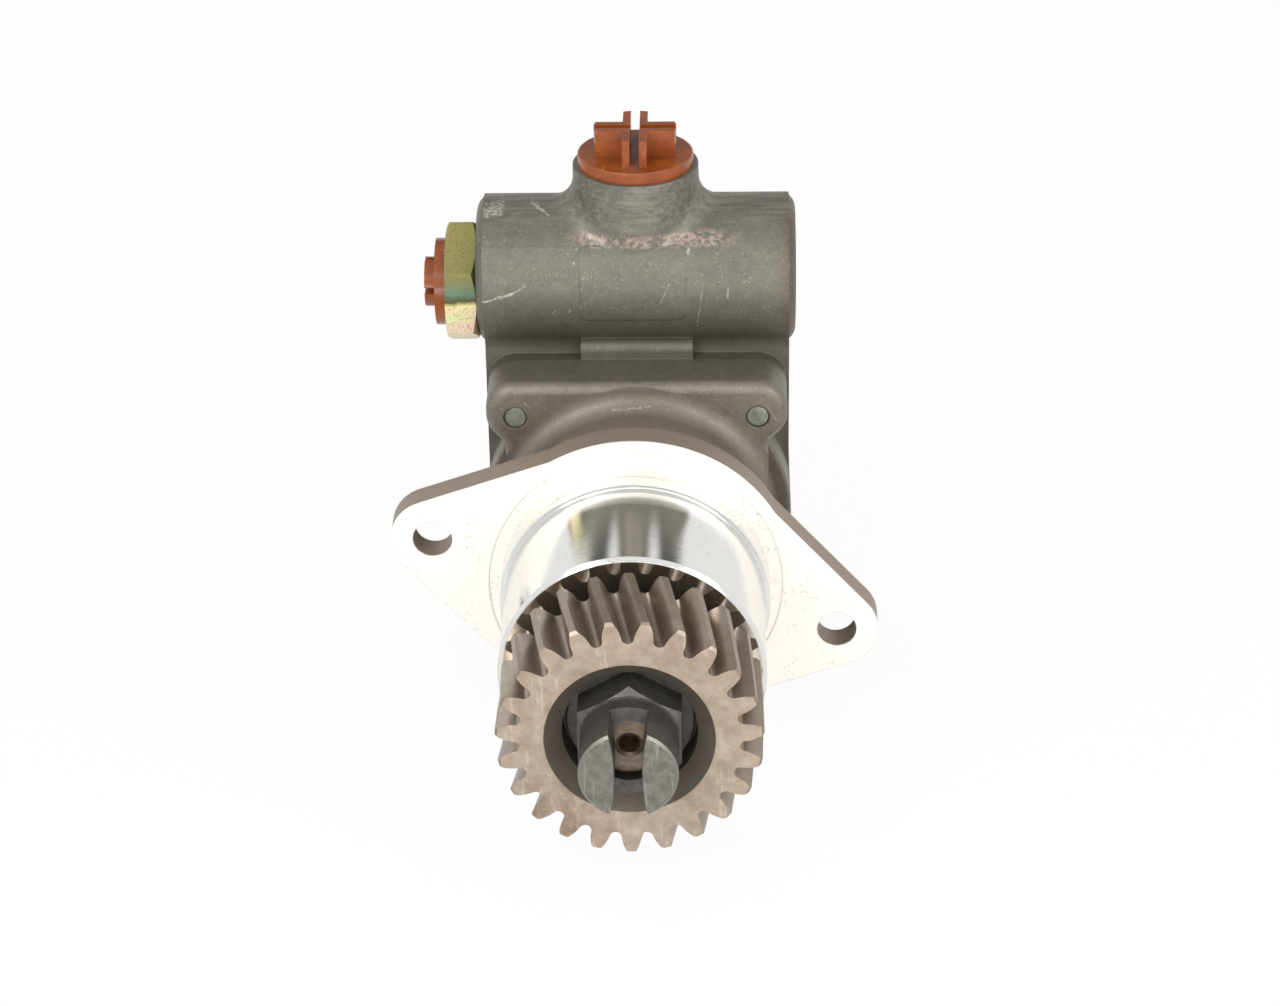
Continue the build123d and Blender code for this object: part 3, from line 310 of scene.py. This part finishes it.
def housing_front_finish():
    """Front housing: machined in front of the flange face, cast behind it and warmer near the flange."""
    finish = Finish("front_housing_cast")
    colour, roughness, relief = cast_layers(finish, srgb(100, 95, 87), srgb(127, 120, 110))
    warm = finish.y.under(22, 34)
    colour = finish.mix(warm * 0.75, colour, srgb(158, 141, 126))
    colour = finish.marked(colour, PLATE_MARKS, finish.y.over(30, 2))
    machined = finish.y.under(MACHINED_TO, 0.2)
    face = finish.y.over(-0.3, 0.2)
    turned = finish.lines(finish.across, 2.6)
    ground = finish.lines(finish.y, 3.2)
    speckle = finish.noise(950, 4, 0.7).over(0.6, 0.12)
    smear = finish.noise(120, 3, 0.6).over(0.55, 0.25)
    face_colour = finish.mix(turned.over(0.5, 0.6), srgb(244, 236, 226), srgb(255, 252, 246))
    face_colour = finish.mix((speckle * smear) * 0.55, face_colour, srgb(158, 128, 100))
    spigot_colour = finish.mix(ground.over(0.5, 0.5), srgb(206, 206, 202), srgb(240, 240, 238))
    spigot_colour = finish.mix(speckle * smear * 0.25, spigot_colour, srgb(140, 122, 100))
    metal_colour = finish.mix(face, spigot_colour, face_colour)
    colour = finish.mix(machined, colour, metal_colour)
    metal_roughness = face * 0.26 + ground * 0.06 + 0.05
    height = (1 - machined) * relief + machined * (ground * 0.12)
    return finish.surface(
        {
            "Base Color": colour,
            "Roughness": machined * metal_roughness + (1 - machined) * roughness,
            "Metallic": machined * (0.45 - face * 0.35) + 0.55,
            "Normal": finish.bump(height, 0.35, 0.00025, finish.rounded(0.0005)),
        }
    )


def housing_rear_finish():
    """Pump housing: the cast barrel with its stains, scuffs and scratches, painted shade low down under
    the barrel, and a pink-beige band that is partly stain and partly painted highlight.
    """
    finish = Finish("pump_housing_cast")
    colour, roughness, relief = cast_layers(finish, srgb(92, 91, 83), srgb(116, 113, 103))
    # Painted shade: from z 40 to 57 mm, under the barrel, the colour is darkened where shade falls.
    painted_shade_under_barrel = finish.z.under(57, 8) * finish.z.over(40, 6)
    colour = finish.mix(painted_shade_under_barrel * 0.35, colour, srgb(70, 64, 56))
    flecks = finish.noise(620, 5, 0.7)
    front = finish.y.under(BARREL_Y, 4)
    # Pink-beige band below the boss on the barrel's front: partly stain, partly a painted highlight where
    # the boss's lower fillet faces up.
    stain_and_highlight_band = (
        finish.z.over(79.0, 1.2)
        * finish.z.under(82.2, 1.6)
        * finish.x.over(-17, 8)
        * finish.x.under(27, 8)
        * flecks.over(0.5, 0.16)
        * front
    )
    colour = finish.mix(stain_and_highlight_band * 0.7, colour, srgb(182, 160, 145))
    colour = finish.marked(colour, BARREL_MARKS, front * 0.75)
    dirt = (finish.x.over(41, 4) * flecks.over(0.45, 0.2)).clamp()
    colour = finish.mix(dirt * 0.6, colour, srgb(92, 76, 56))
    ground = finish.noise(700, 3, 0.6, stretch=(9, 1, 1)).over(0.52, 0.2) * finish.z.over(84, 4)
    colour = finish.mix(ground * 0.4, colour, srgb(156, 148, 138))
    return finish.surface(
        {
            "Base Color": colour,
            "Roughness": roughness,
            "Metallic": 0.55,
            "Normal": finish.bump(relief, 0.35, 0.00025, finish.rounded(0.0006)),
        }
    )


def gear_finish():
    """Case-hardened gear: a matt mottled front face, slicker flanks and painted shade in the hub recess.
    """
    finish = Finish("gear_steel")
    face_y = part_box("drive_gear")[0].y / MM
    mottle = finish.noise(230, 5, 0.68)
    grain = finish.noise(2200, 2, 0.6)
    scuffs = finish.noise(520, 3, 0.6, stretch=(1, 1, 7)).over(0.63, 0.05)
    colour = finish.mix(mottle.over(0.5, 0.4), srgb(148, 132, 114), srgb(180, 164, 146))
    colour = finish.mix(scuffs * 0.35, colour, srgb(205, 194, 178))
    oil = finish.noise(130, 4, 0.7).over(0.5, 0.2) * finish.z.under(-14, 10) * finish.x.under(-8, 10)
    colour = finish.mix(oil * 0.6, colour, srgb(112, 84, 62))
    behind = finish.y.over(face_y + 0.15, 0.1)
    # Painted shade: the recess behind the face, inside 23 mm, is darkened where shade falls round the
    # nut.
    painted_shade_recess = behind * finish.across.under(23, 0.6)
    flank = behind * (1 - painted_shade_recess)
    colour = finish.mix(flank * 0.55, colour, srgb(126, 114, 102))
    colour = finish.mix(painted_shade_recess * 0.85, colour, srgb(92, 86, 78))
    return finish.surface(
        {
            "Base Color": colour,
            "Roughness": grain * 0.14 + (0.38 - flank * 0.1),
            "Metallic": flank * 0.25 + 0.55,
            "Normal": finish.bump(grain * 0.5 + mottle, 0.25, 0.00015, finish.rounded(0.0002)),
        }
    )


def nut_finish():
    """Phosphated steel, dark on the sides and worn lighter on the two driving faces and their rims."""
    finish = Finish("dark_steel")
    face_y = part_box("drive_nut")[0].y / MM
    mottle = finish.noise(420, 5, 0.7)
    grain = finish.noise(2600, 2, 0.6)
    colour = finish.mix(mottle.over(0.5, 0.4), srgb(70, 68, 65), srgb(100, 97, 92))
    face = finish.y.under(face_y + 0.12, 0.1)
    rim = finish.y.under(face_y + 1.0, 0.2) * (1 - face)
    worn = finish.mix(mottle.over(0.5, 0.35), srgb(96, 94, 88), srgb(126, 123, 116))
    colour = finish.mix(face, colour, worn)
    colour = finish.mix(rim * 0.5, colour, srgb(150, 148, 141))
    scratch = finish.noise(700, 2, 0.5, stretch=(1, 1, 9)).over(0.66, 0.04) * face
    colour = finish.mix(scratch * 0.3, colour, srgb(176, 174, 168))
    return finish.surface(
        {
            "Base Color": colour,
            "Roughness": grain * 0.15 + 0.33,
            "Metallic": 0.6,
            "Normal": finish.bump(grain + mottle, 0.25, 0.00012, finish.rounded(0.0002)),
        }
    )


def union_finish():
    """Yellow zinc plate with speckles and pink and green tints below; the dark olive upper facet and the
    pale lower facet are painted shade and painted light.
    """
    finish = Finish("zinc_yellow")
    waves = finish.noise(160, 3, 0.6)
    speckle = finish.noise(1300, 4, 0.7)
    # The ramp over height paints shade on the upper facets and light on the lower ones; the tints and
    # speckles are the plating's own colours.
    height = (finish.z - 45) * (1 / 32) + (waves - 0.5) * 0.16
    plate = finish.ramp(
        height,
        [
            (0.0, srgb(226, 190, 150)),
            (0.14, srgb(238, 214, 168)),
            (0.26, srgb(236, 196, 178)),
            (0.36, srgb(214, 222, 160)),
            (0.46, srgb(232, 220, 158)),
            (0.52, srgb(84, 80, 48)),
            (0.6, srgb(104, 132, 112)),
            (0.72, srgb(134, 130, 78)),
            (1.0, srgb(150, 142, 84)),
        ],
    )
    tint = finish.mix(waves.over(0.52, 0.2), srgb(236, 186, 186), srgb(196, 222, 160))
    plate = finish.mix(finish.z.under(60, 1) * 0.35, plate, tint)
    plate = finish.mix(speckle.under(0.42, 0.1) * 0.5, plate, srgb(88, 84, 50))
    return finish.surface(
        {
            "Base Color": plate,
            "Roughness": speckle * 0.15 + 0.26,
            "Metallic": 0.5,
            "Normal": finish.bump(speckle, 0.15, 0.0001, finish.rounded(0.0003)),
        }
    )


def plug_finish():
    """Moulded orange-brown plastic with a soft gloss."""
    finish = Finish("plug_plastic")
    clouds = finish.noise(140, 4, 0.6)
    grain = finish.noise(1800, 2, 0.6)
    colour = finish.mix(clouds.over(0.5, 0.5), srgb(122, 54, 12), srgb(150, 78, 26))
    scuffs = finish.noise(480, 3, 0.6, stretch=(1, 6, 1)).over(0.66, 0.06)
    colour = finish.mix(scuffs * 0.3, colour, srgb(180, 110, 66))
    return finish.surface(
        {
            "Base Color": colour,
            "Roughness": grain * 0.1 + 0.2,
            "Metallic": 0.0,
            "Normal": finish.bump(grain * 0.4 + clouds, 0.15, 0.0002, finish.rounded(0.0004)),
        },
        {"IOR": 1.5},
    )


def metal_finish(name, dark, light, roughness, metallic=0.9):
    """Plain worked metal: a mottled tone, fine grain and short scratches."""
    finish = Finish(name)
    mottle = finish.noise(380, 4, 0.65)
    grain = finish.noise(2300, 2, 0.6)
    scratch = finish.noise(800, 2, 0.5, stretch=(8, 1, 1)).over(0.66, 0.05)
    colour = finish.mix(mottle.over(0.5, 0.4), dark, light)
    colour = finish.mix(scratch * 0.3, colour, tuple(min(1, 1.3 * c) for c in light))
    return finish.surface(
        {
            "Base Color": colour,
            "Roughness": grain * 0.12 + roughness,
            "Metallic": metallic,
            "Normal": finish.bump(grain, 0.2, 0.0001, finish.rounded(0.0002)),
        }
    )


def rubber_finish():
    """Matt black rubber with a faint bloom."""
    finish = Finish("black_rubber")
    bloom = finish.noise(300, 4, 0.6)
    return finish.surface(
        {
            "Base Color": finish.mix(bloom, srgb(26, 26, 26), srgb(52, 51, 49)),
            "Roughness": bloom * 0.2 + 0.5,
        }
    )


PALE = srgb(205, 198, 186)
SOOT = srgb(62, 56, 48)

# Marks on the barrel's front and the ear plate: two (x, z) ends and a width in mm, strength, colour
BARREL_MARKS = (
    ((-42.4, 85.4), (-38.0, 85.9), 1.1, 0.9, PALE),
    ((-29.6, 86.4), (-26.2, 85.6), 0.3, 0.8, PALE),
    ((-28.2, 86.2), (-24.6, 84.9), 0.25, 0.6, PALE),
    ((-42.3, 79.1), (-17.0, 79.0), 0.3, 0.4, SOOT),
    ((-43.0, 64.2), (-35.0, 66.6), 0.5, 0.85, PALE),
    ((-35.0, 66.6), (-31.1, 68.9), 0.25, 0.6, PALE),
    ((-36.4, 71.7), (-31.0, 76.5), 0.4, 0.5, SOOT),
    ((-17.5, 74.2), (-17.3, 74.9), 0.45, 0.9, PALE),
    ((-16.6, 78.1), (-16.4, 78.4), 0.35, 0.7, PALE),
    ((-18.9, 60.8), (-18.7, 61.2), 0.4, 0.7, PALE),
    ((14.8, 77.5), (14.9, 78.2), 0.5, 0.95, PALE),
    ((7.1, 63.9), (9.4, 69.3), 0.25, 0.5, PALE),
    ((17.2, 55.4), (18.7, 66.9), 0.3, 0.4, PALE),
    ((26.0, 65.1), (26.1, 68.0), 0.3, 0.55, PALE),
    ((30.5, 69.7), (32.5, 71.0), 0.3, 0.5, PALE),
    ((-24.0, 60.0), (-22.5, 61.5), 0.3, 0.4, PALE),
)
PLATE_MARKS = (
    ((-7.0, 38.0), (4.0, 38.8), 0.25, 0.5, PALE),
    ((-4.0, 36.6), (7.0, 36.2), 0.3, 0.45, PALE),
    ((-1.0, 34.8), (9.0, 35.6), 0.2, 0.4, PALE),
    ((-2.0, 33.6), (2.0, 34.2), 0.2, 0.35, SOOT),
    ((37.0, 27.0), (40.5, 30.5), 0.25, 0.6, PALE),
    ((36.5, 38.5), (39.5, 33.5), 0.25, 0.5, PALE),
    ((-31.5, 39.0), (-29.5, 36.5), 0.25, 0.45, PALE),
)

FINISHES = {
    "cast_aluminium": housing_rear_finish(),
    "gear_steel": gear_finish(),
    "dark_steel": nut_finish(),
    "shaft_steel": metal_finish("shaft_steel", srgb(112, 98, 84), srgb(146, 130, 114), 0.3, 0.6),
    "bolt_steel": metal_finish("bolt_steel", srgb(128, 132, 124), srgb(186, 190, 180), 0.26, 0.7),
    "bearing_steel": metal_finish("bearing_steel", srgb(170, 170, 170), srgb(200, 200, 200), 0.15),
    "pump_steel": metal_finish("pump_steel", srgb(150, 150, 150), srgb(180, 180, 180), 0.25),
    "spring_steel": metal_finish("spring_steel", srgb(140, 140, 140), srgb(170, 170, 170), 0.25),
    "zinc_yellow": union_finish(),
    "bush_bronze": metal_finish("bush_bronze", srgb(170, 128, 72), srgb(196, 156, 98), 0.25),
    "black_rubber": rubber_finish(),
    "plug_plastic": plug_finish(),
}
FRONT_HOUSING_FINISH = housing_front_finish()


def dress_nodes():
    for entry in frame["record"]["subparts"]:
        node = frame["nodes"][entry["node"]]
        node.data.materials.clear()
        node.data.materials.append(FINISHES[entry["material_slot"]])
    frame["nodes"]["front_housing"].data.materials[0] = FRONT_HOUSING_FINISH


def grid_faces(rows, columns, closed=False):
    """Four-sided faces of a grid of corners listed row by row; closed joins its last row to its first."""
    faces = []
    for row in range(rows if closed else rows - 1):
        here, after = row * columns, (row + 1) % rows * columns
        for step in range(columns - 1):
            faces.append((here + step, after + step, after + step + 1, here + step + 1))
    return faces


def add_piece(name, corners, faces, slot, body):
    """Object at the origin from corners in millimetres, riding a body, in one material slot."""
    mesh = bpy.data.meshes.new(name)
    mesh.from_pydata([tuple(corner) for corner in np.asarray(corners) * MM], [], faces)
    mesh.materials.append(FINISHES[slot])
    piece = bpy.data.objects.new(name, mesh)
    bpy.context.collection.objects.link(piece)
    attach(piece, body)
    return piece


def make_nut_dogs():
    """Two half-moon driving dogs that fill the nut's collar beside its slot.

    Each is a prism along Y. Over the height z its inner side stands at DOG_MIDDLE plus DOG_SPREAD times
    the square of z over the collar's radius, and its outer side follows a circle of radius DOG_REACH.
    """
    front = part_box("drive_nut")[0].y / MM - DOG_PROUD
    rear = front + DOG_DEPTH
    height = DOG_TOP * np.sin(np.linspace(-math.pi / 2, math.pi / 2, DOG_STEPS))
    inner = DOG_MIDDLE + DOG_SPREAD * (height / DOG_COLLAR) ** 2
    outer = np.maximum(np.sqrt(DOG_REACH**2 - height**2), inner + DOG_TIP)
    section = (
        (inner, rear),
        (inner, front + DOG_EDGE),
        (inner + DOG_EDGE, front),
        (outer, front),
        (outer, rear),
    )
    for side, name in ((-1, "nut_dog_left"), (1, "nut_dog_right")):
        rings = [
            np.column_stack((side * np.minimum(across, outer), np.full(DOG_STEPS, along), height))
            for across, along in section
        ]
        low_rim, high_rim = (
            tuple(ring * DOG_STEPS + step for ring in range(len(rings))) for step in (0, DOG_STEPS - 1)
        )
        faces = [*grid_faces(len(rings), DOG_STEPS, closed=True), low_rim[::-1], high_rim]
        if side < 0:
            faces = [face[::-1] for face in faces]
        add_piece(name, np.concatenate(rings), faces, "dark_steel", "shaft")


def make_pad():
    """Low raised pad on the barrel's front.

    A grid over x and the angle round the barrel. Its radius is the barrel's plus PAD_RISE inside a box
    with rounded corners, and falls to just under the skin over PAD_EDGE inside the box's edge.
    """
    low_turn, high_turn = math.radians(PAD_LOW_TURN), math.radians(PAD_HIGH_TURN)
    x = np.linspace(PAD_LOW_X - PAD_MARGIN_X, PAD_HIGH_X + PAD_MARGIN_X, PAD_COLUMNS)
    turn = np.linspace(low_turn - PAD_MARGIN_TURN, high_turn + PAD_MARGIN_TURN, PAD_ROWS)
    across, around = np.meshgrid(x, turn, indexing="ij")
    half_x = (PAD_HIGH_X - PAD_LOW_X) / 2
    half_arc = (high_turn - low_turn) / 2 * BARREL_RADIUS
    beside = np.abs(across - (PAD_LOW_X + PAD_HIGH_X) / 2) - half_x + PAD_CORNER
    above = np.abs(around - (low_turn + high_turn) / 2) * BARREL_RADIUS - half_arc + PAD_CORNER
    outside = np.hypot(np.maximum(beside, 0), np.maximum(above, 0)) - PAD_CORNER
    share = np.clip(-outside / PAD_EDGE, 0, 1)
    share = share * share * (3 - 2 * share)
    radius = BARREL_RADIUS - PAD_SUNK + (PAD_RISE + PAD_SUNK) * share
    corners = np.stack(
        (across, BARREL_Y - radius * np.cos(around), BARREL_Z + radius * np.sin(around)), axis=-1
    ).reshape(-1, 3)
    piece = add_piece("barrel_pad", corners, grid_faces(*across.shape), "cast_aluminium", "housing")
    piece.data.shade_smooth()


def make_floor():
    """Large white floor that looks white to the camera and keeps a soft shadow."""
    mesh = bpy.data.meshes.new("floor")
    turns = ((-1, -1), (1, -1), (1, 1), (-1, 1))
    corners = [(FLOOR_SPAN * along_x, FLOOR_SPAN * along_y, cad_low.z) for along_x, along_y in turns]
    mesh.from_pydata(corners, [], [(0, 1, 2, 3)])
    floor = bpy.data.objects.new("floor", mesh)
    bpy.context.collection.objects.link(floor)
    finish = Finish("floor_white")
    diffuse = finish.node("ShaderNodeBsdfDiffuse", None, {"Color": (0.9, 0.9, 0.9, 1)})
    glow = finish.node("ShaderNodeEmission", None, {"Color": (1, 1, 1, 1), "Strength": 1.0})
    seen = finish.node("ShaderNodeLightPath", out="Is Camera Ray")
    mirrored = finish.node("ShaderNodeLightPath", out="Is Glossy Ray")
    white = (seen + mirrored).clamp() * FLOOR_WHITE
    blend = finish.node("ShaderNodeMixShader", None, {0: white, 1: diffuse, 2: glow})
    finish.node("ShaderNodeOutputMaterial", None, {"Surface": blend})
    mesh.materials.append(finish.material)


def make_world():
    """White surroundings; reflections alone find a dark panel with two light strips behind the pump."""
    world = bpy.data.worlds.new("studio")
    bpy.context.scene.world = world
    world.use_nodes = True
    studio = Shading(world.node_tree)
    x, y, z = studio.split(studio.node("ShaderNodeTexCoord", out="Generated"))
    degrees = 180 / math.pi
    sideways = x.math("ARCTAN2", y).abs() * degrees
    upward = z.math("ARCSINE") * degrees
    panel = sideways.under(PANEL_HALF, 3) * upward.over(PANEL_LOW, 4) * upward.under(PANEL_HIGH, 8)
    strips = (sideways - STRIP_AT).abs().under(STRIP_HALF, 1.5)
    level = 1 - panel * (1 - strips) * PANEL_DARK
    seen = studio.node("ShaderNodeLightPath", out="Is Camera Ray")
    mirrored = studio.node("ShaderNodeLightPath", out="Is Glossy Ray")
    strength = seen + (1 - seen) * (mirrored * level + (1 - mirrored) * WORLD_LIGHT)
    glow = studio.node("ShaderNodeBackground", None, {"Color": (1, 1, 1, 1), "Strength": strength})
    studio.node("ShaderNodeOutputWorld", None, {"Surface": glow})


def area_light(name, place, size, power):
    """Rectangular lamp that looks at the origin; places and sizes in metres, power in watts."""
    data = bpy.data.lights.new(name, "AREA")
    data.shape = "RECTANGLE"
    data.size, data.size_y = size
    data.energy = power
    lamp = bpy.data.objects.new(name, data)
    bpy.context.collection.objects.link(lamp)
    lamp.location = place
    lamp.rotation_mode = "QUATERNION"
    lamp.rotation_quaternion = (-Vector(place)).to_track_quat("-Z", "Y")


def make_lights():
    area_light("key", (-0.5, -0.7, 0.7), (0.5, 0.5), 6)
    area_light("fill", (0.6, -0.6, 0.5), (0.5, 0.5), 4)
    area_light("front", (0.0, -1.0, 0.0), (0.8, 0.3), 4)


make_camera()
dress_nodes()
make_nut_dogs()
make_pad()
make_floor()
make_world()
make_lights()
bpy.context.scene.view_settings.view_transform = "Standard"
